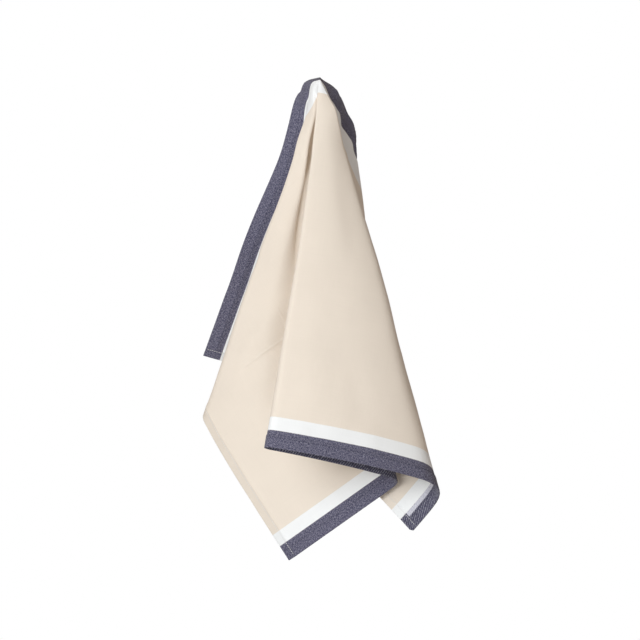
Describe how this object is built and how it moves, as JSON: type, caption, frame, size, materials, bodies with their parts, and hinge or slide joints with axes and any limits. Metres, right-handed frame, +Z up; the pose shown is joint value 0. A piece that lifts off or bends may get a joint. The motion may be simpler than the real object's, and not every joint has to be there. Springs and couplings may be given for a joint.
{
  "type": "tea towel",
  "caption": "Cream cotton tea towel with navy and white borders, hanging from one point of a long edge in soft pleats.",
  "frame": {"origin": "the hang point, where the towel's long edge is held, on the line between its navy and white stripes", "axes": "+Z up, +X to the viewer's right, +Y away from the viewer, so the front face looks along -Y"},
  "size_m": [0.2949, 0.236, 0.6144],
  "materials": {
    "cream_cotton": "matt plain weave, with white and navy woven borders on the long edges"
  },
  "bodies": {
    "root": {"towel_cloth": "cream_cotton"}
  },
  "joints": []
}
